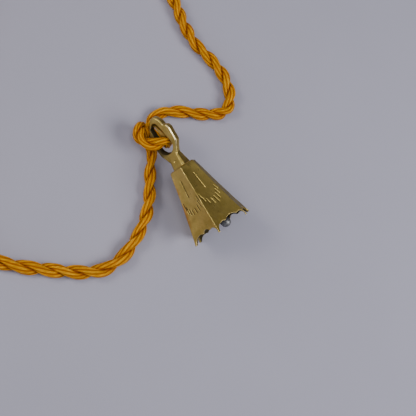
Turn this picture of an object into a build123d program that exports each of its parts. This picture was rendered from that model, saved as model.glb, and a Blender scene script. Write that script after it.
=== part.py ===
from build123d import *
import math
import os

# A small cast brass bell on a twisted cord loop, lying on its side on a flat surface.
# X runs along the bell's axis towards the mouth, Z is up, and one flat face of the bell is on top.
# The origin is under the middle of the bell, on the surface. Millimetres.

# ---- driving dimensions -------------------------------------------------------------------------
BELL_LENGTH = 56.0          # ring top to leg tips
SIDES = 6
MOUTH_X = BELL_LENGTH / 2   # leg tips
RING_TOP_X = -BELL_LENGTH / 2
CROWN_X = -3.9              # outer top of the hollow body
SHOULDER_X = -3.4           # where the flat faces start, under the filed top edge
CROWN_RADIUS = 6.65         # centre to corner at the shoulder
CROWN_EDGE_RADIUS = 6.05    # centre to corner of the filed top edge
FLARE_SLOPE = 0.225         # growth of the corner radius per mm along the axis
FLARE_CURVE = 0.0013        # and its increase towards the mouth
WALL = 1.3
CROWN_THICKNESS = 2.0

RING_THICKNESS = 3.1
RING_CHAMFER = 0.5
EYE_HOLE = (-15.2, -0.8)    # round part of the eye's keyhole: along the axis and across
EYE_HOLE_RADIUS = 3.7
HOLE_BEVEL_DEPTH = 1.3
NECK_END_X = -10.2          # where the neck runs out into the ring

ETCH_DEPTH = 0.24
ETCH_TOOL = 0.6             # side of the square graver that cuts each stroke
ETCH_FAN_STROKES = 8
ETCH_FAN_LENGTH = 3.0

STAPLE_WIRE = 1.4
STAPLE_HALF_WIDTH = 2.0
STAPLE_BAR_X = 2.2
LINK_WIRE = 1.1
LINK_HALF_WIDTH = 1.4
LINK_REACH = 3.4            # staple bar to the bar that carries the clapper
LOOSE_FIT = 0.06
SHANK_DIAMETER = 1.6
EYE_WIRE = 1.2
BALL_DIAMETER = 4.6
BALL_X = 26.4               # where the ball lies at rest, along the axis
BALL_DROP = 6.5             # below the axis
BALL_SIDE = 5.4             # and to the side
BALL_BORE_DEPTH = 3.0       # how far the shank goes into the ball

CORD_DIAMETER = 4.7
CORD_HEIGHT = CORD_DIAMETER / 2
ARC_SHARE = 0.45            # share of the shorter run that an arc of the cord takes up
RING_KNOT_SIZE = (13.4, 12.2, 12.4)
RING_KNOT_XY = (-21.6, -3.5)
KNOT_ROUNDING = 4.2
BINDING_SIZE = (10.0, 11.0, 6.3)        # thread wound round the two ends of the cord
BINDING_XY = (-134.0, -20.9)
BINDING_ROUNDING = 2.2
CORD_END_LENGTH = 7.0                   # from the binding to the cut ends


def corner_radius(x):
    """Centre to corner of the outside of the body at this place along the axis."""
    run = x - SHOULDER_X
    return CROWN_RADIUS + FLARE_SLOPE * run + FLARE_CURVE * run * run


FACE_SHARE = math.cos(math.pi / SIDES)              # centre to face over centre to corner
AXIS_HEIGHT = corner_radius(MOUTH_X) * FACE_SHARE   # the leg tips stand on the surface
FACE_ANGLES = [360 / SIDES * index for index in range(SIDES)]   # from straight up, towards +Y
RING_ANGLE = -60                                    # the way the ring's flat front faces


def radial(angle):
    """Unit vector square to the axis, at this angle from straight up towards +Y."""
    return Vector(0, math.sin(math.radians(angle)), math.cos(math.radians(angle)))


def on_axis(x):
    return Vector(x, 0, AXIS_HEIGHT)


def hexagon(x, radius):
    plane = Plane(origin=on_axis(x), x_dir=(0, 1, 0), z_dir=(1, 0, 0))
    return plane * RegularPolygon(radius, SIDES)


# ---- bell: one casting of body, neck and ring ---------------------------------------------------
BODY_STATIONS = [SHOULDER_X, 6.0, 16.0, MOUTH_X]


def body_outside():
    top_edge = loft([hexagon(CROWN_X, CROWN_EDGE_RADIUS), hexagon(SHOULDER_X, CROWN_RADIUS)], ruled=True)
    flare = loft([hexagon(x, corner_radius(x)) for x in BODY_STATIONS])
    return top_edge + flare


def body_inside():
    inner_top = CROWN_X + CROWN_THICKNESS
    mouth_run_out = MOUTH_X + 2.0
    stations = [inner_top, 6.0, 16.0, mouth_run_out]
    return loft([hexagon(x, corner_radius(x) - WALL / FACE_SHARE) for x in stations])


def octagon(x, half_width, half_thickness, corner):
    plane = Plane(origin=on_axis(x), x_dir=radial(RING_ANGLE + 90), z_dir=(1, 0, 0))
    outline = Rectangle(2 * half_width, 2 * half_thickness)
    return plane * chamfer(outline.vertices(), corner)


# Punch marks round the neck: place along the axis, angle, centre's distance from the axis, radius.
NECK_DIMPLES = [(-7.2, -62, 2.75, 0.8), (-6.4, 118, 2.9, 0.8)]


def neck():
    ring_end = octagon(NECK_END_X, 2.75, RING_THICKNESS / 2, 0.5)
    body_end = octagon(CROWN_X + 0.3, 3.7, 3.1, 1.1)
    pillar = loft([ring_end, body_end], ruled=True)
    for x, angle, out, size in NECK_DIMPLES:
        pillar -= Pos(*(on_axis(x) + radial(angle) * out)) * Sphere(size)
    return pillar


def hull_of(circles):
    return make_hull([(Pos(x, y) * Circle(radius)).edge() for x, y, radius in circles])


def hole_bevel(face_plane):
    """The slope filed round the front of the keyhole: wide beside the slot, narrow round the hole."""
    x, y = EYE_HOLE
    front = face_plane * hull_of([(-23.9, 0.1, 1.9), (x, y, EYE_HOLE_RADIUS + 0.6)])
    back = face_plane.offset(-HOLE_BEVEL_DEPTH) * hull_of([(-24.0, -0.7, 0.9), (x - 0.1, y, EYE_HOLE_RADIUS)])
    return loft([front, back], ruled=True)


def ring():
    """The flat eye: a hand-filed outline with a narrow top, and a keyhole with a wide bevel in front."""
    right_side = [(-27.4, 3.0), (-25.6, 4.2), (-22.9, 4.7), (-22.1, 6.1), (-20.6, 6.7), (-14.4, 6.2),
                  (-12.2, 4.4), (NECK_END_X, 3.05), (-8.4, 2.9)]
    left_side = [(-7.6, -3.7), (-9.6, -4.5), (-11.8, -5.6), (-15.0, -6.1), (-19.0, -5.8), (-22.5, -4.7),
                 (-25.2, -3.0), (-27.2, -0.8)]
    tip = [(RING_TOP_X, 0.8), (RING_TOP_X, 2.2)]
    plane = Plane(origin=on_axis(0), x_dir=(1, 0, 0), z_dir=radial(RING_ANGLE))
    plate = extrude(plane * Polygon(*tip, *right_side, *left_side, align=None), RING_THICKNESS / 2, both=True)
    plate = chamfer(plate.edges().filter_by(lambda edge: abs(edge.tangent_at(0.5).dot(plane.z_dir)) < 0.1),
                    RING_CHAMFER)
    slot = Pos(-20.0, -1.7) * SlotCenterToCenter(7.2, 2.2)
    punch = extrude(plane * (slot + Pos(*EYE_HOLE) * Circle(EYE_HOLE_RADIUS)), RING_THICKNESS, both=True)
    return plate - punch - hole_bevel(plane.offset(RING_THICKNESS / 2))


# Along the face from one leg to the next: first cusp, middle of the middle scallop, second cusp, and
# how much shallower the scallops are. The mouth is filed by hand, so no two faces are quite alike.
SCALLOPS = [(-1.6, 1.3, 4.1, 0.0), (-2.5, 0.0, 2.5, 0.2), (-2.2, 0.4, 2.9, 1.1), (-3.4, -0.6, 2.2, 1.0),
            (-2.4, 0.2, 2.7, 0.6), (-0.9, 1.0, 2.9, 0.0)]
LEG_TIP_HALF = 0.7
NOTCH_X = 24.1              # deepest place between two legs
CUSP_X = 25.3


def mouth_cutter(angle, scallops):
    """What is filed away between two corner legs on the face at this angle."""
    first, middle, second, shallower = scallops
    notch_x = NOTCH_X + shallower
    cusp_x = CUSP_X + shallower
    half_face = corner_radius(MOUTH_X) / 2
    left_tip = (MOUTH_X, -half_face + LEG_TIP_HALF)
    right_tip = (MOUTH_X, half_face - LEG_TIP_HALF)
    left_flank = (notch_x + 1.0, (left_tip[1] + first) / 2 - 0.3)
    right_flank = (notch_x + 1.0, (right_tip[1] + second) / 2 + 0.3)
    beyond = MOUTH_X + 3.0
    edges = [ThreePointArc(left_tip, left_flank, (cusp_x, first)),
             ThreePointArc((cusp_x, first), (notch_x, middle), (cusp_x, second)),
             ThreePointArc((cusp_x, second), right_flank, right_tip),
             Polyline(right_tip, (beyond, right_tip[1]), (beyond, left_tip[1]), left_tip)]
    plane = Plane(origin=on_axis(0), x_dir=(1, 0, 0), z_dir=radial(angle))
    return extrude(plane * make_face(Curve() + edges), corner_radius(MOUTH_X) + 3.0)


def etched_stroke(angle, x, side, lean, length):
    """A V-shaped graver cut on the face at this angle, running roughly along the axis."""
    slope = FACE_SHARE * (FLARE_SLOPE + 2 * FLARE_CURVE * (x - SHOULDER_X))
    normal = (radial(angle) - Vector(1, 0, 0) * slope).normalized()
    across = radial(angle + 90)
    along = (Vector(1, 0, 0) + radial(angle) * slope).normalized()
    surface = on_axis(x) + radial(angle) * (corner_radius(x) * FACE_SHARE) + across * side
    lift = ETCH_TOOL / math.sqrt(2) - ETCH_DEPTH
    plane = Plane(origin=surface + normal * lift, x_dir=along + across * lean, z_dir=normal)
    return plane * Rot(X=45) * Box(length, ETCH_TOOL, ETCH_TOOL)


def face_etching(angle, index):
    """One long stroke down the face with a U-shaped fan of short ones under it."""
    shift = 0.35 * math.sin(2.4 * index + 1.0)      # hand work: each face a little different
    strokes = [etched_stroke(angle, 5.0 + shift, 0.3 * shift, 0.01, 8.4)]
    for number in range(ETCH_FAN_STROKES):
        turn = math.radians(-78 + 156 * number / (ETCH_FAN_STROKES - 1))
        wobble = 0.25 * math.sin(5.1 * number + 1.7 * index)
        x = 10.2 + 5.2 * math.cos(turn) + shift + wobble
        side = 4.3 * math.sin(turn) + wobble
        strokes.append(etched_stroke(angle, x, side, 0.13 + 0.02 * side, ETCH_FAN_LENGTH + 2 * wobble))
    return strokes


# ---- clapper: staple in the crown, link, shank with its eye, ball ------------------------------
STAPLE_BAR = on_axis(STAPLE_BAR_X)
ball_centre = Vector(BALL_X, BALL_SIDE, AXIS_HEIGHT - BALL_DROP)
reach_in_plane = math.hypot(BALL_X - STAPLE_BAR_X, BALL_DROP)
DROOP = math.degrees(math.asin(BALL_DROP / reach_in_plane))          # of the link, below the axis
link_way = Vector(math.cos(math.radians(DROOP)), 0, -math.sin(math.radians(DROOP)))
link_up = Vector(math.sin(math.radians(DROOP)), 0, math.cos(math.radians(DROOP)))
EYE_CENTRE = STAPLE_BAR + link_way * LINK_REACH
shank_way = (ball_centre - EYE_CENTRE).normalized()
SIDE_SWING = math.degrees(math.atan2(BALL_SIDE, reach_in_plane - LINK_REACH))


def wire(path, diameter):
    section = Plane(origin=path @ 0, z_dir=path % 0) * Circle(diameter / 2)
    return sweep(section, path=path)


def clapper_staple():
    foot = CROWN_X + 0.8
    corners = [(foot, -STAPLE_HALF_WIDTH), (STAPLE_BAR_X, -STAPLE_HALF_WIDTH),
               (STAPLE_BAR_X, STAPLE_HALF_WIDTH), (foot, STAPLE_HALF_WIDTH)]
    return wire(FilletPolyline(*[on_axis(x) + Vector(0, y, 0) for x, y in corners], radius=1.0), STAPLE_WIRE)


def clapper_link():
    """A long wire ring in an upright plane, closed round the staple's bar and the clapper's eye."""
    near = -(STAPLE_WIRE / 2 + LINK_WIRE / 2 + LOOSE_FIT)
    plane = Plane(origin=STAPLE_BAR, x_dir=link_way, z_dir=(0, -1, 0))
    length = LINK_REACH - near
    bend = 0.75
    inside = Pos(near + length / 2, 0) * RectangleRounded(length, 2 * LINK_HALF_WIDTH, bend)
    path = (plane * inside).wire()
    return wire(path, LINK_WIRE)


def clapper_shank():
    """Iron rod with its top bent into an eye round the link's far bar."""
    eye_radius = LINK_WIRE / 2 + EYE_WIRE / 2 + LOOSE_FIT
    eye_plane = Plane(origin=EYE_CENTRE, x_dir=shank_way, z_dir=link_up)
    eye = eye_plane * Torus(eye_radius, EYE_WIRE / 2)
    start = EYE_CENTRE + shank_way * (eye_radius + 0.1)
    end = ball_centre + shank_way * (BALL_BORE_DEPTH - BALL_DIAMETER / 2)
    rod_plane = Plane(origin=start, z_dir=shank_way)
    rod = rod_plane * Cylinder(SHANK_DIAMETER / 2, (end - start).length,
                               align=(Align.CENTER, Align.CENTER, Align.MIN))
    return eye + rod


def clapper_ball(shank):
    """A cast ball with a short collar where the shank goes in."""
    ball_plane = Plane(origin=ball_centre, z_dir=shank_way * -1)
    collar_top = BALL_DIAMETER / 2 + 1.3
    collar = Cone(BALL_DIAMETER * 0.36, SHANK_DIAMETER / 2 + 0.45, collar_top - 1.5,
                  align=(Align.CENTER, Align.CENTER, Align.MIN))
    return ball_plane * (Sphere(BALL_DIAMETER / 2) + Pos(Z=1.5) * collar) - shank


# ---- cord: knot on the ring, two tails on the surface, the binding that joins them, cut ends ----
LEFT_ROUTE = [(-17.5, -3.6), (-8.5, -11.0), (2.0, -18.0), (9.5, -28.0), (14.5, -39.0), (15.8, -49.0),
              (12.0, -58.0), (5.0, -67.0), (-2.5, -76.5), (-11.0, -86.0), (-21.5, -91.5), (-33.5, -89.5),
              (-46.5, -82.0), (-60.5, -74.0), (-75.0, -64.5), (-88.0, -54.0), (-99.5, -43.0),
              (-108.5, -33.5), (-118.5, -26.3), (-129.0, -23.3), (-134.0, -23.3)]
RIGHT_ROUTE = [(-25.0, 1.0), (-27.2, 8.0), (-27.0, 14.5), (-22.0, 22.0), (-17.6, 29.0), (-14.2, 36.5),
               (-18.8, 42.5), (-27.5, 46.0), (-37.5, 45.5), (-48.0, 42.4), (-59.0, 43.0), (-70.0, 46.0),
               (-80.5, 45.0), (-90.0, 38.5), (-97.0, 28.5), (-102.0, 17.0), (-107.0, 5.0), (-112.5, -6.5),
               (-120.0, -14.8), (-129.0, -18.5), (-134.5, -18.5)]


def cord_path(name, route):
    """Straight runs joined by arcs, each arc as large as its two runs allow."""
    points = [Vector(x, y, CORD_HEIGHT) for x, y in route]
    radii = []
    for before, here, after in zip(points, points[1:], points[2:]):
        turn = (here - before).get_angle(after - here)
        shorter = min((here - before).length, (after - here).length)
        radii.append(ARC_SHARE * shorter / math.tan(math.radians(turn / 2)))
    path = FilletPolyline(*points, radius=radii)
    print(name, "length", round(path.length, 1), "arc radii", [round(radius, 1) for radius in radii])
    return path


def rounded_block(size, place, rounding):
    block = Box(*size, align=(Align.CENTER, Align.CENTER, Align.MIN))
    return Pos(*place, 0) * fillet(block.edges(), rounding)


def cord_ends(binding):
    """The two cut ends that stand out of the binding, side by side on the surface."""
    ends = []
    for side in (-1, 1):
        start = Vector(BINDING_XY[0], BINDING_XY[1] + side * 2.4, CORD_HEIGHT)
        way = Vector(-1, side * 0.06, 0).normalized()
        length = BINDING_SIZE[0] / 2 + CORD_END_LENGTH
        rod = Plane(origin=start, z_dir=way) * Cylinder(
            CORD_DIAMETER / 2, length, align=(Align.CENTER, Align.CENTER, Align.MIN))
        ends.append(rod - binding)
    return ends


# ---- assembly -----------------------------------------------------------------------------------
def build():
    staple = clapper_staple()
    bell = body_outside() + neck() + ring()
    bell -= body_inside()
    bell -= [mouth_cutter(angle, scallops) for angle, scallops in zip(FACE_ANGLES, SCALLOPS)]
    strokes = []
    for index, angle in enumerate(FACE_ANGLES):
        strokes += face_etching(angle, index)
    bell -= strokes
    bell -= staple
    shank = clapper_shank()

    ring_knot = rounded_block(RING_KNOT_SIZE, RING_KNOT_XY, KNOT_ROUNDING) - bell
    binding = rounded_block(BINDING_SIZE, BINDING_XY, BINDING_ROUNDING)
    left_path = cord_path("cord_tail_left", LEFT_ROUTE)
    right_path = cord_path("cord_tail_right", RIGHT_ROUTE)
    left_tail = wire(left_path, CORD_DIAMETER) - ring_knot - binding
    right_tail = wire(right_path, CORD_DIAMETER) - ring_knot - binding
    ends = cord_ends(binding)

    return {"bell_casting": bell, "clapper_staple": staple, "clapper_link": clapper_link(),
            "clapper_shank": shank, "clapper_ball": clapper_ball(shank), "ring_knot": ring_knot,
            "cord_tail_left": left_tail, "cord_tail_right": right_tail, "end_binding": binding,
            "cord_ends": Compound(children=ends)}


os.makedirs("parts", exist_ok=True)
for node, shape in build().items():
    export_step(shape, f"parts/{node}.step")
print("axis height", round(AXIS_HEIGHT, 4), "droop", round(DROOP, 3), "side swing", round(SIDE_SWING, 3))
print("staple bar", tuple(STAPLE_BAR), "eye", tuple(EYE_CENTRE), "eye axis", tuple(link_up))
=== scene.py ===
"""A small brass bell on a twisted cord, lying on its side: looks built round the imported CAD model."""

import math

import bpy
import numpy as np
from mathutils import Matrix, Vector


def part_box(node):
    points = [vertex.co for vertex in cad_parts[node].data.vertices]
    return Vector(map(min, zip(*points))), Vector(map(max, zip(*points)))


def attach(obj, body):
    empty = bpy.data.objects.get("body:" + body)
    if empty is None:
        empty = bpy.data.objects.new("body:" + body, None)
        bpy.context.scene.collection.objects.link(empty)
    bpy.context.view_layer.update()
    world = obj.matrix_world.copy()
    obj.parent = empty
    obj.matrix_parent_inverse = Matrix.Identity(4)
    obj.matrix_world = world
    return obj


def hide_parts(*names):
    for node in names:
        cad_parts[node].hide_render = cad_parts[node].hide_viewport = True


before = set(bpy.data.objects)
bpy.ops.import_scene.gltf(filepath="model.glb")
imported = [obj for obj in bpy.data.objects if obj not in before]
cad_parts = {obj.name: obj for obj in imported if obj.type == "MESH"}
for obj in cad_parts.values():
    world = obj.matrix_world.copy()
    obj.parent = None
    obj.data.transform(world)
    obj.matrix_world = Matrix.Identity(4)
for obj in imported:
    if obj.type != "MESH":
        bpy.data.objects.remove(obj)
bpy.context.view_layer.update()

MM = 0.001
bell_low, bell_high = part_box("bell_casting")
AXIS_HEIGHT = (bell_low.z + bell_high.z) / 2
BELL_LENGTH = bell_high.x - bell_low.x


# ---- camera -------------------------------------------------------------------------------------
CAMERA_ELEVATION = math.radians(67.9)
CAMERA_ROLL = math.radians(56.7)        # the picture's right, turned from +X towards +Y
CAMERA_DISTANCE = 6.786 * BELL_LENGTH
CAMERA_LENS = 76.92
CAMERA_AIM = Vector((0.3059 * BELL_LENGTH, -0.0092 * BELL_LENGTH, AXIS_HEIGHT - 0.0037 * BELL_LENGTH))


def make_camera():
    towards = Vector((0, -math.cos(CAMERA_ELEVATION), math.sin(CAMERA_ELEVATION)))
    level = Vector((0, math.sin(CAMERA_ELEVATION), math.cos(CAMERA_ELEVATION)))
    across = Vector((1, 0, 0))
    right = across * math.cos(CAMERA_ROLL) + level * math.sin(CAMERA_ROLL)
    up = level * math.cos(CAMERA_ROLL) - across * math.sin(CAMERA_ROLL)
    data = bpy.data.cameras.new("camera")
    data.lens = CAMERA_LENS
    data.sensor_width = 36
    data.clip_start = 0.01
    data.clip_end = 10
    camera = bpy.data.objects.new("camera", data)
    bpy.context.scene.collection.objects.link(camera)
    place = CAMERA_AIM + towards * CAMERA_DISTANCE
    camera.matrix_world = Matrix.Translation(place) @ Matrix((right, up, towards)).transposed().to_4x4()
    bpy.context.scene.camera = camera


# ---- cord routes, in mm -------------------------------------------------------------------------
CORD_DIAMETER = 4.7 * MM
FLOOR_Z = CORD_DIAMETER / 2 / MM
LIFT_SHARE = 0.47           # of the added thickness; the rest is pressed flat
BINDING_Z = 3.15            # the two cords rise a little where the thread goes under them
LEFT_ROUTE = [(-11.5, -8.2), (-6.5, -12.4), (2.0, -18.0), (9.5, -28.0), (14.5, -39.0), (15.8, -49.0),
              (12.0, -58.0), (5.0, -67.0), (-2.5, -76.5), (-11.0, -86.0), (-21.5, -91.5), (-33.5, -89.5),
              (-46.5, -82.0), (-60.5, -74.0), (-75.0, -64.5), (-88.0, -54.0), (-99.5, -43.0),
              (-108.5, -33.5), (-118.5, -26.3, 2.5), (-129.0, -23.3, 3.05), (-134.0, -23.3, BINDING_Z)]
RIGHT_ROUTE = [(-29.0, 10.7), (-27.8, 13.8), (-25.4, 18.2), (-22.0, 22.5), (-17.6, 29.0), (-14.2, 36.5),
               (-18.8, 42.5), (-27.5, 46.0), (-37.5, 45.5), (-48.0, 42.4), (-59.0, 43.0), (-70.0, 46.0),
               (-80.5, 45.0), (-90.0, 38.5), (-97.0, 28.5), (-102.0, 17.0), (-107.0, 5.0), (-112.5, -6.5),
               (-120.0, -14.8, 2.5), (-129.0, -18.5, 3.05), (-134.0, -18.5, BINDING_Z)]

# The hitch on the bell's eye, from the end of the right tail to the end of the left one: under the
# eye's narrow top and its lower limb, up through the hole, back over the limb, round itself and down.
KNOT_ROUTE = [(-29.0, 10.7, 2.35), (-29.6, 7.3, 2.40), (-29.2, 4.2, 2.55), (-27.4, 1.7, 2.80),
              (-23.9, 0.9, 3.10), (-20.4, 1.2, 3.30), (-17.4, 2.4, 4.20), (-15.9, 2.6, 6.80),
              (-15.9, 1.6, 10.60), (-17.0, 0.2, 13.40), (-17.5, -2.3, 12.90), (-18.2, -4.6, 11.00),
              (-20.0, -6.6, 9.90), (-22.7, -8.0, 9.30), (-25.2, -7.8, 9.30), (-27.2, -6.0, 9.40),
              (-28.2, -3.8, 8.20), (-27.6, -2.6, 5.80), (-25.8, -3.0, 4.30), (-23.2, -3.8, 3.60),
              (-20.4, -3.8, 2.90), (-17.3, -3.6, 2.40), (-14.6, -5.6, 2.35), (-11.5, -8.2, 2.35)]
LEFT_SEAM = np.array([-18.5, -3.7, 2.6]) * MM       # where the knot's piece ends, under its front strand
RIGHT_SEAM = np.array([-26.4, 1.3, 2.9]) * MM       # and under the eye

# The two cut ends, from inside the thread binding outwards.
END_ROUTES = [
    [(-131.0, -23.3, BINDING_Z), (-137.0, -23.3, BINDING_Z), (-141.0, -23.5, 2.8), (-146.0, -23.9, 2.4)],
    [(-131.0, -18.5, BINDING_Z), (-137.0, -18.5, BINDING_Z), (-141.0, -18.2, 2.8), (-146.5, -17.7, 2.4)]]
BINDING_MIDDLE = Vector((-134.0, -20.9, BINDING_Z))


def spline_line(route):
    """The points of the smooth line that these control points, in mm, guide."""
    curve = bpy.data.curves.new("route", "CURVE")
    curve.dimensions = "3D"
    curve.resolution_u = 20
    spline = curve.splines.new("NURBS")
    spline.points.add(len(route) - 1)
    for point, place in zip(spline.points, route):
        x, y, z = place if len(place) == 3 else (*place, FLOOR_Z)
        point.co = (x * MM, y * MM, z * MM, 1)
    spline.order_u = 3
    spline.use_endpoint_u = True
    holder = bpy.data.objects.new("route", curve)
    mesh = bpy.data.meshes.new_from_object(holder)
    line = np.array([vertex.co for vertex in mesh.vertices])
    bpy.data.objects.remove(holder)
    bpy.data.curves.remove(curve)
    bpy.data.meshes.remove(mesh)
    return line


class Line:
    """A centreline with its distance along, and a frame across it that doesn't twist."""

    def __init__(self, points, step):
        steps = np.linalg.norm(np.diff(points, axis=0), axis=1)
        keep = np.concatenate([[True], steps > 1e-7])
        points = points[keep]
        along = np.concatenate([[0], np.cumsum(np.linalg.norm(np.diff(points, axis=0), axis=1))])
        self.length = along[-1]
        self.s = np.linspace(0, self.length, int(self.length / step) + 1)
        self.p = np.stack([np.interp(self.s, along, points[:, axis]) for axis in range(3)], axis=1)
        tangent = np.gradient(self.p, axis=0)
        self.t = tangent / np.linalg.norm(tangent, axis=1)[:, None]
        across = np.cross(self.t[0], (0, 0, 1.0))
        normals = [across / np.linalg.norm(across)]
        for here in self.t[1:]:
            turned = normals[-1] - here * np.dot(normals[-1], here)
            normals.append(turned / np.linalg.norm(turned))
        self.n = np.array(normals)
        self.b = np.cross(self.t, self.n)

    def nearest_row(self, place):
        return int(np.argmin(np.linalg.norm(self.p - place, axis=1)))

    def fill_out(self):
        """Thickness and twist along a cord, with the cord lifted off the floor where it is thicker."""
        self.fat = fullness(self.p)
        self.turn = 2 * math.pi * np.cumsum(np.gradient(self.s) / lay(self.p))
        on_floor = self.p[:, 2] < CORD_DIAMETER + 0.3 * MM
        self.p[:, 2] += on_floor * (self.fat - 1) * CORD_DIAMETER * LIFT_SHARE
        return self


# ---- meshes -------------------------------------------------------------------------------------
def add_object(name, mesh, material):
    thing = bpy.data.objects.new(name, mesh)
    bpy.context.scene.collection.objects.link(thing)
    mesh.materials.append(material)
    return thing


def add_mask(mesh, name, values):
    """A number for each vertex, which the material reads by this name."""
    attribute = mesh.attributes.new(name, "FLOAT", "POINT")
    attribute.data.foreach_set("value", np.asarray(values, np.float32))


class MeshParts:
    """Closed tubes gathered into one mesh, with a UV that runs along and round each tube."""

    def __init__(self):
        self.points, self.faces, self.uvs, self.smooth, self.deep, self.count = [], [], [], [], [], 0

    def tube(self, rings, along, around, deep=None):
        """rings: rows of points round the tube; along: each row's distance; around: angles in turns;
        deep: how far down between two plies each point lies."""
        rows, columns = rings.shape[:2]
        first = self.count
        self.points.append(rings.reshape(-1, 3))
        self.deep += [0.0] * (rows * columns + 2) if deep is None else [*deep.ravel(), 1.0, 1.0]
        for row in range(rows - 1):
            here, there = first + row * columns, first + (row + 1) * columns
            for column in range(columns):
                after = (column + 1) % columns
                self.faces.append((here + column, here + after, there + after, there + column))
                corners = ((row, column), (row, column + 1), (row + 1, column + 1), (row + 1, column))
                self.uvs += [(along[i], around[i][j]) for i, j in corners]
        self.count += rows * columns
        self.smooth += [True] * ((rows - 1) * columns) + [False] * (2 * columns)
        for row, flip in ((0, True), (rows - 1, False)):
            centre = self.count
            self.points.append(rings[row].mean(axis=0)[None, :])
            self.count += 1
            for column in range(columns):
                after = (column + 1) % columns
                pair = (first + row * columns + column, first + row * columns + after)
                self.faces.append((centre, *(pair[::-1] if flip else pair)))
                self.uvs += [(along[row], around[row][column])] * 3

    def mesh(self, name):
        made = bpy.data.meshes.new(name)
        made.from_pydata(np.concatenate(self.points).tolist(), [], self.faces)
        made.polygons.foreach_set("use_smooth", self.smooth)
        layer = made.uv_layers.new(name="strand")
        layer.data.foreach_set("uv", np.array(self.uvs, np.float32).ravel())
        add_mask(made, "deep", self.deep)
        made.update()
        return made


# ---- cord ---------------------------------------------------------------------------------------
CORD_STEP = 0.55 * MM
YARN_LAY = 46 * MM                      # the yarns turn the other way inside each ply
PLY_HALF_DEPTH = 0.27 * CORD_DIAMETER   # each ply is pressed flat against the other one
PLY_HALF_WIDTH = 0.32 * CORD_DIAMETER
YARNS = 6
YARN_GROOVE = 0.20                      # depth between two yarns, as a share of the ply's half depth
PLY_COLUMNS = 8 * YARNS
KNOT_MIDDLE = np.array([-21.5, -2.0, 6.0]) * MM


def smooth_step(values, low, high):
    share = np.clip((values - low) / (high - low), 0, 1)
    return share * share * (3 - 2 * share)


def fullness(points):
    """How many times as thick as the tight cord it is: slack away from the bell and on top of the knot."""
    away = smooth_step(np.linalg.norm(points - KNOT_MIDDLE, axis=1), 9 * MM, 19 * MM)
    slack = 0.20 + 0.10 * smooth_step(-points[:, 1], 25 * MM, 60 * MM)
    unbound = smooth_step(points[:, 0], -126 * MM, -112 * MM)       # the thread binding pulls it tight
    return 1 + slack * away * unbound + 0.12 * smooth_step(points[:, 2], 7 * MM, 10 * MM)


def lay(points):
    """Length of one whole turn of a ply: a slack cord is twisted less tightly."""
    y = points[:, 1]
    return (19.5 + 2.0 * smooth_step(-y, 20 * MM, 55 * MM) - 3.0 * smooth_step(y, 12 * MM, 30 * MM)) * MM


def ply_rings(line, first, last, ply):
    """Rows of points round one ply, from row first to row last of the line."""
    rows = slice(first, last)
    s = line.s[rows]
    n, b = line.n[rows], line.b[rows]
    wander = 0.35 * np.sin(s / (23 * MM) + 1.3) + 0.25 * np.sin(s / (9.1 * MM) + 0.4 * ply)
    turn = line.turn[rows] + math.pi * ply + wander
    out = np.cos(turn)[:, None] * n + np.sin(turn)[:, None] * b
    side = np.cos(turn)[:, None] * b - np.sin(turn)[:, None] * n
    fat = line.fat[rows]
    swell = fat * (1 + 0.035 * np.sin(s / (6.3 * MM) + 2.1 * ply) + 0.025 * np.sin(s / (2.9 * MM) + ply))
    around = np.linspace(0, 2 * math.pi, PLY_COLUMNS + 1)
    yarn_turn = -2 * math.pi * s / YARN_LAY + 0.3 * np.sin(s / (14 * MM) + 3 * ply) - turn
    angle = around[None, :] + yarn_turn[:, None]
    crown = np.abs(np.sin(YARNS * around / 2))
    uneven = 1 + 0.04 * np.sin(3 * around + 1.0 + ply) + 0.03 * np.sin(5 * around + 2.0)
    reach = swell[:, None] * (uneven * (1 - YARN_GROOVE * (1 - crown) ** 1.5))[None, :]
    middle = (fat * (CORD_DIAMETER / 2 - PLY_HALF_DEPTH))[:, None]
    outward = middle + PLY_HALF_DEPTH * reach * np.cos(angle)
    sideways = PLY_HALF_WIDTH * reach * np.sin(angle)
    across = outward[:, :, None] * out[:, None, :] + sideways[:, :, None] * side[:, None, :]
    rings = line.p[rows][:, None, :] + across
    rings[:, :, 2] = np.maximum(rings[:, :, 2], 0.02 * MM)      # flattened where it lies on the floor
    turns = np.tile(around / (2 * math.pi), (len(s), 1))
    from_middle = np.hypot(outward, sideways) / (fat * CORD_DIAMETER)[:, None]
    # the material paints shade into the crease between the plies from this
    deep = 1 - smooth_step(from_middle, 0.20, 0.36)
    return rings[:, :-1, :], s / MM, turns, deep[:, :-1]


def rope(name, line, first, last, material):
    parts = MeshParts()
    for ply in range(2):
        parts.tube(*ply_rings(line, first, last, ply))
    return add_object(name, parts.mesh(name), material)


def round_tube(parts, line, radii, columns):
    """A plain round tube along the whole line, with a radius for each row."""
    around = np.linspace(0, 2 * math.pi, columns + 1)
    cosines, sines = np.cos(around)[None, :, None], np.sin(around)[None, :, None]
    circle = cosines * line.n[:, None, :] + sines * line.b[:, None, :]
    rings = line.p[:, None, :] + np.asarray(radii)[:, None, None] * circle
    parts.tube(rings[:, :-1, :], line.s / MM, np.tile(around / (2 * math.pi), (len(line.s), 1)))


FRAY_LENGTH = 3.4 * MM
FRAY_SPREAD = 1.1                       # how far the loose yarns lean away from the cord's middle
YARN_RADII = [0.46, 0.48, 0.30]         # mm, of a loose yarn at its root, past its middle and at its tip


def loose_yarn(parts, root, way, chance):
    """One yarn that comes out of the cut end, a little bent and thinner at its tip."""
    way = way + chance.normal(0, 0.09, 3)
    bend = chance.normal(0, 0.25, 3)
    reach = FRAY_LENGTH * chance.uniform(0.75, 1.35)
    share = np.linspace(0, 1, 9)[:, None]
    points = root + reach * share * way + 0.4 * reach * share ** 2 * bend
    points[:, 2] = np.maximum(points[:, 2], 0.5 * MM)       # it lies on the floor, not in it
    line = Line(points, 0.4 * MM)
    radii = np.interp(line.s / line.length, [0, 0.6, 1], YARN_RADII) * MM
    round_tube(parts, line, radii, 8)


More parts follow.
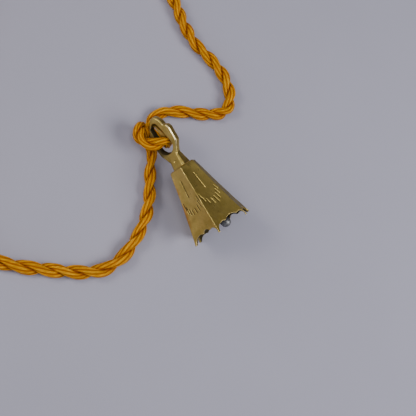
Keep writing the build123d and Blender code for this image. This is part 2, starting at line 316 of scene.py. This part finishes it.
def cut_ends(name, material):
    """Two short ends of cord whose yarns come apart at the cut."""
    chance = np.random.default_rng(7)
    parts = MeshParts()
    for route in END_ROUTES:
        line = Line(spline_line(route), CORD_STEP).fill_out()
        last = int(np.searchsorted(line.s, line.length - FRAY_LENGTH))
        start = last - 3                # the loose yarns start a few rows inside the ply
        for ply in range(2):
            rings, along, around, deep = ply_rings(line, 0, last, ply)
            parts.tube(rings, along, around, deep)
            middle = rings[-3].mean(axis=0)
            for yarn in range(YARNS):
                column = int((yarn + 0.5) * PLY_COLUMNS / YARNS)
                root = middle + 0.72 * (rings[-3, column] - middle)
                way = line.t[start] + FRAY_SPREAD * (root - line.p[start]) / CORD_DIAMETER
                loose_yarn(parts, root, way, chance)
    return add_object(name, parts.mesh(name), material)


THREAD_RADIUS = 0.33 * MM
BINDING_TURNS = 14
BINDING_LENGTH = 9.4 * MM


def thread_binding(name, material):
    """Close turns of thin thread round the two cords, side by side."""
    spacing = 2.4 * MM
    reach = CORD_DIAMETER / 2 + THREAD_RADIUS
    turn = np.linspace(0, BINDING_TURNS, 56 * BINDING_TURNS)
    angle = 2 * math.pi * turn
    lean = 0.05 * np.sin(2.3 * turn) * MM
    x = BINDING_MIDDLE.x * MM + BINDING_LENGTH * (turn / BINDING_TURNS - 0.5) + lean
    y = BINDING_MIDDLE.y * MM + reach * np.cos(angle) + spacing * np.tanh(3 * np.cos(angle))
    z = BINDING_MIDDLE.z * MM + reach * np.sin(angle) * (1 + 0.02 * np.sin(1.7 * turn))
    line = Line(np.stack([x, y, z], axis=1), 0.3 * MM)
    parts = MeshParts()
    round_tube(parts, line, np.full(len(line.s), THREAD_RADIUS), 8)
    return add_object(name, parts.mesh(name), material)


# ---- bell: the casting with its edges worn and its faces filed by hand --------------------------
SHOULDER_X = -3.4                       # the bell's outline, in mm, as its CAD model has it
CROWN_RADIUS = 6.65
FLARE_SLOPE = 0.225
FLARE_CURVE = 0.0013
HALF, FLAT_SHARE = 0.5, 0.866           # sine and cosine of 30 degrees: the eye's lean, and flat over corner
FACE_ANGLES = np.radians(np.arange(0, 360, 60))
FACE_HOLLOW = 0.2                       # mm that the flat faces are filed in at their middle
SKIN_DEPTH = 0.40                       # mm under a face that still counts as its outside
VOXEL = 0.12 * MM
KEPT_SHARE = 0.23                       # of the remeshed bell's triangles
FILED_HEIGHT = 0.022 * MM


def eye_shade_dirt_and_highlight(points, normals):
    """Painted shade on the keyhole's walls; painted shade and dirt on the limb under the cord; a painted
    highlight on the other limb's bevel.
    """
    x = points[:, 0] / MM
    height = points[:, 2] - AXIS_HEIGHT
    across = (points[:, 1] * HALF + height * FLAT_SHARE) / MM         # over the eye's flat face
    sideways = normals[:, 1] * HALF + normals[:, 2] * FLAT_SHARE
    through = np.abs(normals[:, 2] * HALF - normals[:, 1] * FLAT_SHARE)
    in_hole = (x > -25.2) * (x < -11.2) * (across > -4.6) * (across < 3)
    # painted shade: the keyhole's walls are made near black
    walls = (1 - smooth_step(through, 0.45, 0.7)) * in_hole
    # painted shade and dirt: the limb under the cord is darkened
    limb = smooth_step(-across, 1.4, 2.8) * smooth_step(x, -24.0, -20.0) * (1 - smooth_step(x, -12.4, -9.6))
    # painted highlight: the bevel of the other limb is made bright
    bevel = smooth_step(sideways, 0.35, 0.6) * smooth_step(through, 0.2, 0.5) * smooth_step(across, 2.2, 3.2)
    bright = bevel * smooth_step(x, -25.0, -20.0) * (1 - smooth_step(x, -14.0, -10.5))
    return np.maximum(walls, 0.9 * limb), bright


def sharpness(mesh, points, normals):
    """How far each vertex stands out of its neighbours: positive on edges, negative in grooves."""
    edges = np.empty(2 * len(mesh.edges), np.int32)
    mesh.edges.foreach_get("vertices", edges)
    first, second = edges.reshape(-1, 2).T
    way = points[second] - points[first]
    way /= np.maximum(np.linalg.norm(way, axis=1), 1e-9)[:, None]
    rise = np.concatenate([-(normals[first] * way).sum(axis=1), (normals[second] * way).sum(axis=1)])
    ends, others = np.concatenate([first, second]), np.concatenate([second, first])
    count = np.maximum(np.bincount(ends, minlength=len(points)), 1)
    bend = np.bincount(ends, rise, len(points)) / count
    return 0.5 * bend + 0.5 * np.bincount(ends, bend[others], len(points)) / count


def under_faces(points):
    """For each point: how many mm it lies under the nearest flat face, that face, and the face's hollow."""
    x, y, z = (points / MM).T
    z = z - AXIS_HEIGHT / MM
    run = x - SHOULDER_X
    corner = CROWN_RADIUS + FLARE_SLOPE * run + FLARE_CURVE * run * run     # from the axis to a corner
    reaches = y[:, None] * np.sin(FACE_ANGLES) + z[:, None] * np.cos(FACE_ANGLES)
    face = reaches.argmax(axis=1)
    side = y * np.cos(FACE_ANGLES[face]) - z * np.sin(FACE_ANGLES[face])
    hollow = FACE_HOLLOW * np.clip(1 - (2 * side / corner) ** 2, 0, 1) * smooth_step(x, SHOULDER_X, -0.5)
    return FLAT_SHARE * corner - reaches.max(axis=1), face, hollow


def through_modifiers(mesh, modifiers):
    """The mesh that these modifiers make of this one."""
    holder = bpy.data.objects.new("holder", mesh)
    bpy.context.scene.collection.objects.link(holder)
    for kind, settings in modifiers:
        modifier = holder.modifiers.new(kind.lower(), kind)
        for key, value in settings.items():
            setattr(modifier, key, value)
    made = bpy.data.meshes.new_from_object(holder.evaluated_get(bpy.context.evaluated_depsgraph_get()))
    bpy.data.objects.remove(holder)
    return made


def read_points(mesh):
    points = np.empty(3 * len(mesh.vertices), np.float32)
    mesh.vertices.foreach_get("co", points)
    return points.reshape(-1, 3).astype(float)


def write_points(mesh, points):
    mesh.vertices.foreach_set("co", points.astype(np.float32).ravel())


def hand_filed_mesh():
    """The casting with soft edges and its flat faces filed slightly hollow."""
    remesh = ("REMESH", {"mode": "VOXEL", "voxel_size": VOXEL})
    smooth = ("SMOOTH", {"factor": 0.5, "iterations": 4})
    mesh = through_modifiers(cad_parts["bell_casting"].data.copy(), [remesh, smooth])
    points = read_points(mesh)
    depth, face, hollow = under_faces(points)
    inward = MM * hollow * (1 - smooth_step(depth, 0.35, 0.7))
    points[:, 1] -= inward * np.sin(FACE_ANGLES[face])
    points[:, 2] -= inward * np.cos(FACE_ANGLES[face])
    write_points(mesh, points)
    return through_modifiers(mesh, [("DECIMATE", {"ratio": KEPT_SHARE})])


def filing_wave(points):
    """Low uneven waves that the file leaves, between about -3 and 3."""
    x, y, z = (points / MM).T
    long_waves = np.sin(x / 1.3 + 0.9 * np.sin(y / 2.3)) * np.sin(y / 1.9 + z / 2.7)
    short_waves = 0.8 * np.sin(x / 0.7 + z / 1.1 + 1.0) * np.sin(y / 0.9 - z / 1.7)
    return long_waves + short_waves + np.sin(x / 3.1 - y / 2.2 + z / 3.7)


def wear_shade_and_highlight_masks(points, normals, bend):
    """Masks from 0 to 1: dark cast skin with painted shade, edge wear with painted highlights, dirt in the
    grooves, and a painted orange reflection.
    """
    x, y, z = (points / MM).T
    depth, face, hollow = under_faces(points)
    depth -= hollow
    outside = depth < SKIN_DEPTH
    on_top = face == 0
    on_body = x > -2.0
    # within the bell: dark cast skin, painted near black as shade as well
    skin_and_shade = smooth_step(depth, 0.35, 0.9) * (x > -2.4)
    # painted shade: the faces turned towards +Y are darkened
    shaded_side = 0.72 * smooth_step(normals[:, 1], 0.6, 0.75) * (x > -4) * outside
    etched = smooth_step(depth, 0.012, 0.055) * outside * on_body * (x < 20)
    etched *= 1 - 0.6 * on_top              # the top face is rubbed cleaner
    grooves = smooth_step(-bend, 0.04, 0.15) * (1 - 0.5 * on_top)
    # edges bright with wear, and a painted highlight that is strongest on the ridges near the mouth
    edge_highlight_share = 1 - 0.65 * on_body * (1 - smooth_step(x, 14, 24))      # the ridges shine most near the mouth
    edges = smooth_step(bend, 0.06, 0.22) * edge_highlight_share
    low_ridge = 1 - smooth_step(np.abs(z - AXIS_HEIGHT / MM), 0.3, 1.7)
    # painted orange reflection on the low ridge of the -Y side
    painted_orange = 0.7 * low_ridge * (1 - smooth_step(x, 16, 23)) * outside * (y < -4) * (x > SHOULDER_X)
    eye_shade_and_dirt, eye_highlight = eye_shade_dirt_and_highlight(points, normals)
    # the dark mask holds cast skin and painted shade, the bright mask edge wear and painted highlights
    return {"skin_and_shade": np.maximum(skin_and_shade, np.maximum(shaded_side, eye_shade_and_dirt)),
            "wear_and_highlight": np.maximum(edges, eye_highlight),
            "groove": np.maximum(grooves, etched),
            "orange_reflection": painted_orange}


def worn_bell(name, material):
    mesh = hand_filed_mesh()
    points = read_points(mesh)
    normals = np.array([corner.vector for corner in mesh.vertex_normals])
    moved = points + normals * (FILED_HEIGHT * filing_wave(points))[:, None]
    moved[:, 2] = np.maximum(moved[:, 2], 0)
    write_points(mesh, moved)
    mesh.polygons.foreach_set("use_smooth", [True] * len(mesh.polygons))
    for mask, values in wear_shade_and_highlight_masks(points, normals, sharpness(mesh, moved, normals)).items():
        add_mask(mesh, mask, values)
    mesh.materials.clear()
    mesh.update()
    return add_object(name, mesh, material)


# ---- materials ----------------------------------------------------------------------------------
class Nodes:
    """A material's shader nodes, made and joined with short calls."""

    def __init__(self, name):
        self.material = bpy.data.materials.new(name)
        self.material.use_nodes = True
        self.tree = self.material.node_tree
        self.shader = self.tree.nodes["Principled BSDF"]
        self.place = self.add("ShaderNodeTexCoord").outputs["Object"]

    def put(self, socket, value):
        if isinstance(value, bpy.types.NodeSocket):
            self.tree.links.new(value, socket)
        elif socket.type == "RGBA":
            socket.default_value = (*value, 1)
        else:
            socket.default_value = value

    def add(self, kind, inputs=None, **settings):
        node = self.tree.nodes.new(kind)
        for key, value in settings.items():
            setattr(node, key, value)
        for key, value in (inputs or {}).items():
            self.put(node.inputs[key], value)
        return node

    def calc(self, operation, *values):
        return self.add("ShaderNodeMath", dict(enumerate(values)), operation=operation).outputs[0]

    def times(self, first, second):
        return self.calc("MULTIPLY", first, second)

    def plus(self, first, second):
        return self.calc("ADD", first, second)

    def most(self, first, second):
        return self.calc("MAXIMUM", first, second)

    def mask(self, name):
        return self.add("ShaderNodeAttribute", attribute_name=name).outputs["Fac"]

    def spread(self, value, low, high, to_low=0.0, to_high=1.0):
        inputs = {"Value": value, "From Min": low, "From Max": high, "To Min": to_low, "To Max": to_high}
        return self.add("ShaderNodeMapRange", inputs).outputs["Result"]

    def stretched(self, vector, scale, turn=(0, 0, 0)):
        inputs = {"Vector": vector, "Scale": scale, "Rotation": [math.radians(angle) for angle in turn]}
        return self.add("ShaderNodeMapping", inputs).outputs[0]

    def noise(self, vector, scale, detail=3.0, roughness=0.55):
        inputs = {"Vector": vector, "Scale": scale, "Detail": detail, "Roughness": roughness}
        return self.add("ShaderNodeTexNoise", inputs).outputs["Fac"]

    def mix(self, share, first, second):
        return self.add("ShaderNodeMix", {0: share, 6: first, 7: second}, data_type="RGBA").outputs[2]

    def shaded(self, colour, tone):
        """The colour made darker or lighter, as tone is under or over 1."""
        grey = self.add("ShaderNodeCombineColor", {0: tone, 1: tone, 2: tone}).outputs[0]
        inputs = {0: 1.0, 6: colour, 7: grey}
        return self.add("ShaderNodeMix", inputs, data_type="RGBA", blend_type="MULTIPLY").outputs[2]

    def bump(self, height, distance, below=None):
        inputs = {"Height": height, "Distance": distance, "Strength": 1.0}
        if below:
            inputs["Normal"] = below
        return self.add("ShaderNodeBump", inputs).outputs[0]

    def finish(self, **inputs):
        for key, value in inputs.items():
            self.put(self.shader.inputs[key.replace("_", " ")], value)
        return self.material


# groove is painted shade between the yarns and plies, shine a painted highlight, body the dyed colour; the
# same for the thread
CORD_COLOURS = [(0.27, 0.05, 0.0), (0.54, 0.205, 0.0), (0.98, 0.52, 0.002)]         # groove, body, shine
THREAD_COLOURS = [(0.20, 0.05, 0.0), (0.42, 0.14, 0.002), (0.66, 0.31, 0.008)]
THREAD_YARNS = 3
YARN_GLOSS = (1.0, 0.55, 0.06)          # dyed yarn: even its shine is orange


def cord_material(name, groove, body, shine, yarns):
    """Shiny yarn: painted shade between the yarns and the plies, fine filaments along them that carry painted
    highlights.
    """
    nodes = Nodes(name)
    strand = nodes.add("ShaderNodeUVMap", uv_map="strand").outputs[0]
    split = nodes.add("ShaderNodeSeparateXYZ", {0: strand})
    along, around = split.outputs[0], split.outputs[1]
    yarn = nodes.times(around, float(yarns))
    crown = nodes.calc("ABSOLUTE", nodes.calc("SINE", nodes.times(yarn, math.pi)))
    twisted = nodes.plus(nodes.times(yarn, 4.0), nodes.times(along, 0.55))
    lengthwise = nodes.add("ShaderNodeCombineXYZ", {0: nodes.times(along, 0.10), 1: twisted}).outputs[0]
    filaments = nodes.noise(lengthwise, 2.2, 3.0, 0.6)
    fluff = nodes.noise(nodes.place, 420, 3.0)
    number = nodes.calc("FLOOR", yarn)
    own_shade = nodes.add("ShaderNodeTexWhiteNoise", {"W": number}, noise_dimensions="1D").outputs["Value"]

    # painted shade: the groove colour darkens the cord between the yarns
    colour = nodes.mix(nodes.spread(crown, 0.0, 0.8), groove, body)
    # painted highlight: the shine colour along the filaments on the yarns' crowns
    light = nodes.times(nodes.spread(filaments, 0.48, 0.66), nodes.spread(crown, 0.3, 1.0))
    colour = nodes.mix(light, colour, shine)
    tone = nodes.plus(nodes.spread(fluff, 0.3, 0.7, 0.78, 1.08), nodes.times(own_shade, 0.14))
    colour = nodes.shaded(colour, tone)
    # painted shade between the two plies, where the deep mask is high
    colour = nodes.mix(nodes.times(nodes.mask("deep"), 0.8), colour, groove)
    relief = nodes.plus(filaments, nodes.times(crown, 0.4))
    rough = nodes.spread(filaments, 0.3, 0.7, 0.50, 0.34)
    return nodes.finish(Base_Color=colour, Roughness=rough, Specular_IOR_Level=0.5,
                        Specular_Tint=YARN_GLOSS, Normal=nodes.bump(relief, 0.16 * MM))


BRASS_CLEAN = (0.62, 0.46, 0.13)
BRASS_DULL = (0.36, 0.26, 0.06)
BRASS_STREAK = (0.48, 0.33, 0.08)
BRASS_GRIME = (0.07, 0.05, 0.022)
# polished brass, for edge wear and scratches and for painted highlights
BRASS_WEAR_AND_HIGHLIGHT = (0.90, 0.74, 0.44)
# a painted orange reflection
BRASS_REFLECTED_ORANGE = (0.42, 0.17, 0.045)
# near black: cast skin and painted shade
BRASS_SKIN_AND_SHADE = (0.046, 0.036, 0.016)


def brass_material():
    """Old brass: hand-filed, bright on its edges with wear and painted highlights, brown in its grooves, a
    painted orange reflection on one ridge, dark cast skin and painted shade within.
    """
    nodes = Nodes("brass")
    filing = nodes.noise(nodes.stretched(nodes.place, (0.06, 1, 1)), 3200, 3.0)
    crossing = nodes.noise(nodes.stretched(nodes.place, (1, 0.05, 1), (0, 0, 24)), 2400, 2.0)
    leaning = nodes.noise(nodes.stretched(nodes.place, (0.04, 1, 1), (0, 12, -17)), 1500, 2.0)
    mottle = nodes.noise(nodes.place, 210, 6.0, 0.62)
    patches = nodes.noise(nodes.place, 75, 3.0)
    cells = nodes.add("ShaderNodeTexVoronoi", {"Vector": nodes.place, "Scale": 950.0}).outputs["Distance"]
    skin_and_shade, wear_and_highlight, groove, orange_reflection = [nodes.mask(name) for name in ("skin_and_shade", "wear_and_highlight", "groove", "orange_reflection")]
    scratch = nodes.most(nodes.spread(crossing, 0.68, 0.78), nodes.spread(leaning, 0.68, 0.78))
    clouds = nodes.plus(nodes.times(mottle, 0.65), nodes.times(patches, 0.35))
    tarnish = nodes.spread(clouds, 0.40, 0.60)
    pit = nodes.times(nodes.spread(cells, 0.16, 0.05), nodes.spread(mottle, 0.50, 0.62))
    grime = nodes.most(nodes.times(groove, 0.9), nodes.times(pit, 0.6))
    bright = nodes.most(wear_and_highlight, nodes.times(scratch, 0.5))

    colour = nodes.mix(tarnish, BRASS_CLEAN, BRASS_DULL)
    colour = nodes.mix(nodes.times(filing, 0.35), colour, BRASS_STREAK)
    # painted orange reflection on the low ridge
    colour = nodes.mix(nodes.times(orange_reflection, nodes.spread(mottle, 0.40, 0.55)), colour, BRASS_REFLECTED_ORANGE)
    colour = nodes.mix(grime, colour, BRASS_GRIME)
    # edge wear and scratches, with painted highlights on the ridges near the mouth and on the eye's bevel
    colour = nodes.mix(nodes.times(bright, 0.7), colour, BRASS_WEAR_AND_HIGHLIGHT)
    # dark cast skin and painted shade within the bell, painted shade on the +Y faces, painted shade and dirt
    # on the eye
    colour = nodes.mix(skin_and_shade, colour, BRASS_SKIN_AND_SHADE)
    rough = nodes.plus(nodes.spread(tarnish, 0, 1, 0.30, 0.42), nodes.spread(filing, 0.3, 0.7, -0.05, 0.06))
    rough = nodes.calc("SUBTRACT", rough, nodes.times(wear_and_highlight, 0.10))
    rough = nodes.most(rough, nodes.times(nodes.most(skin_and_shade, groove), 0.8))
    relief = nodes.bump(nodes.calc("SUBTRACT", filing, nodes.times(scratch, 0.2)), 0.018 * MM)
    relief = nodes.bump(mottle, 0.05 * MM, relief)
    return nodes.finish(Base_Color=colour, Roughness=rough, Normal=relief,
                        Metallic=nodes.spread(skin_and_shade, 0, 1, 1.0, 0.1),
                        Specular_IOR_Level=nodes.spread(skin_and_shade, 0, 1, 0.5, 0.05))


STEEL_CLEAN = (0.55, 0.55, 0.56)
STEEL_DULL = (0.30, 0.29, 0.28)
IRON_CLEAN = (0.32, 0.32, 0.33)
IRON_DULL = (0.085, 0.083, 0.085)
IRON_PIT = (0.05, 0.04, 0.035)


def iron_material(name, clean, dull, roughness, marking):
    """Plain iron or steel: fine marks, drawn out along X where marking says so, grey oxide and small pits."""
    nodes = Nodes(name)
    marks = nodes.noise(nodes.stretched(nodes.place, marking), 2600, 3.0)
    oxide = nodes.spread(nodes.noise(nodes.place, 620, 5.0, 0.65), 0.38, 0.62)
    pits = nodes.spread(nodes.noise(nodes.place, 2100, 2.0), 0.36, 0.28)
    colour = nodes.mix(oxide, clean, dull)
    colour = nodes.mix(nodes.times(pits, 0.7), colour, IRON_PIT)
    rough = nodes.plus(nodes.spread(oxide, 0, 1, roughness, roughness + 0.2), nodes.times(pits, 0.2))
    relief = nodes.bump(nodes.calc("SUBTRACT", marks, nodes.times(pits, 0.7)), 0.03 * MM)
    return nodes.finish(Base_Color=colour, Roughness=rough, Metallic=nodes.spread(oxide, 0, 1, 1.0, 0.75),
                        Normal=relief)


FLOOR_DARK = (0.37, 0.36, 0.445)
FLOOR_LIGHT = (0.42, 0.41, 0.50)


def floor_material():
    nodes = Nodes("floor")
    cloud = nodes.noise(nodes.place, 9, 3.0)
    grain = nodes.noise(nodes.place, 1400, 2.0)
    colour = nodes.mix(cloud, FLOOR_DARK, FLOOR_LIGHT)
    return nodes.finish(Base_Color=colour, Roughness=0.85, Specular_IOR_Level=0.2,
                        Normal=nodes.bump(grain, 0.05 * MM))


# ---- floor and light ----------------------------------------------------------------------------
FLOOR_HALF = 2.0


def make_floor():
    corners = [(-FLOOR_HALF, -FLOOR_HALF, 0), (FLOOR_HALF, -FLOOR_HALF, 0),
               (FLOOR_HALF, FLOOR_HALF, 0), (-FLOOR_HALF, FLOOR_HALF, 0)]
    mesh = bpy.data.meshes.new("floor")
    mesh.from_pydata(corners, [], [(0, 1, 2, 3)])
    floor = add_object("floor", mesh, floor_material())


def area_light(name, place, aim, size, power, colour=(1, 1, 1)):
    data = bpy.data.lights.new(name, "AREA")
    data.size = size
    data.energy = power
    data.color = colour
    light = bpy.data.objects.new(name, data)
    bpy.context.scene.collection.objects.link(light)
    way = Vector(aim) - Vector(place)
    light.matrix_world = Matrix.Translation(place) @ way.to_track_quat("-Z", "Y").to_matrix().to_4x4()


SKY_BRIGHT_SIDE = (-0.3, -0.9, 0.3)
SKY_DIM = (0.085, 0.078, 0.060)
SKY_BRIGHT = (0.62, 0.65, 0.74)


def make_sky():
    """A dim room that is bright on one side, as by a window."""
    world = bpy.data.worlds.new("world")
    bpy.context.scene.world = world
    world.use_nodes = True
    tree = world.node_tree
    way = tree.nodes.new("ShaderNodeTexCoord")
    towards = tree.nodes.new("ShaderNodeVectorMath")
    towards.operation = "DOT_PRODUCT"
    towards.inputs[1].default_value = SKY_BRIGHT_SIDE
    share = tree.nodes.new("ShaderNodeMapRange")
    share.inputs["From Min"].default_value = -0.1
    share.inputs["From Max"].default_value = 0.9
    tint = tree.nodes.new("ShaderNodeMix")
    tint.data_type = "RGBA"
    tint.inputs[6].default_value = (*SKY_DIM, 1)
    tint.inputs[7].default_value = (*SKY_BRIGHT, 1)
    tree.links.new(way.outputs["Generated"], towards.inputs[0])
    tree.links.new(towards.outputs["Value"], share.inputs["Value"])
    tree.links.new(share.outputs["Result"], tint.inputs[0])
    tree.links.new(tint.outputs[2], tree.nodes["Background"].inputs["Color"])


# ---- build --------------------------------------------------------------------------------------
make_camera()
cord = cord_material("cord", *CORD_COLOURS, YARNS)
thread = cord_material("thread", *THREAD_COLOURS, THREAD_YARNS)
brass = brass_material()
steel = iron_material("steel_wire", STEEL_CLEAN, STEEL_DULL, roughness=0.32, marking=(0.1, 1, 1))
iron = iron_material("clapper_iron", IRON_CLEAN, IRON_DULL, roughness=0.46, marking=(1, 1, 1))

routes = [spline_line(LEFT_ROUTE)[::-1], spline_line(KNOT_ROUTE)[::-1], spline_line(RIGHT_ROUTE)]
cord_line = Line(np.concatenate(routes), CORD_STEP).fill_out()
left_row, right_row = [cord_line.nearest_row(seam) for seam in (LEFT_SEAM, RIGHT_SEAM)]
left_tail = rope("cord_tail_left_rope", cord_line, 0, left_row + 1, cord)
ring_knot = rope("ring_knot_rope", cord_line, left_row, right_row + 1, cord)
right_tail = rope("cord_tail_right_rope", cord_line, right_row, len(cord_line.s), cord)
binding = thread_binding("end_binding_thread", thread)
ends = cut_ends("cord_ends_frayed", cord)
# Blender pieces, each with the CAD piece it stands for and its material slot.
made = [(left_tail, "cord_tail_left", "cord"),
        (ring_knot, "ring_knot", "cord"),
        (right_tail, "cord_tail_right", "cord"),
        (binding, "end_binding", "thread"),
        (ends, "cord_ends", "cord")]
# CAD pieces that show as they are.
shown = [("clapper_staple", steel), ("clapper_link", steel), ("clapper_shank", steel), ("clapper_ball", iron)]
made.append((worn_bell("bell_worn", brass), "bell_casting", "brass"))
for piece, node, slot in made:
    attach(piece, "bell")
    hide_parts(node)
for node, material in shown:
    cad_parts[node].data.materials.clear()
    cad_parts[node].data.materials.append(material)

make_floor()
area_light("window", (0.35, 0.27, 0.48), aim=(0, 0, 0), size=0.35, power=2.9)
area_light("fill", (-0.33, -0.31, 0.40), aim=(0, 0, 0), size=0.17, power=1.0, colour=(1.0, 0.95, 0.88))
area_light("ceiling", (-0.02, -0.075, 0.52), aim=(-0.02, 0, 0), size=0.12, power=0.30)
area_light("low", (-0.17, -0.45, 0.16), aim=(0, 0, 0.01), size=0.10, power=0.14)
make_sky()
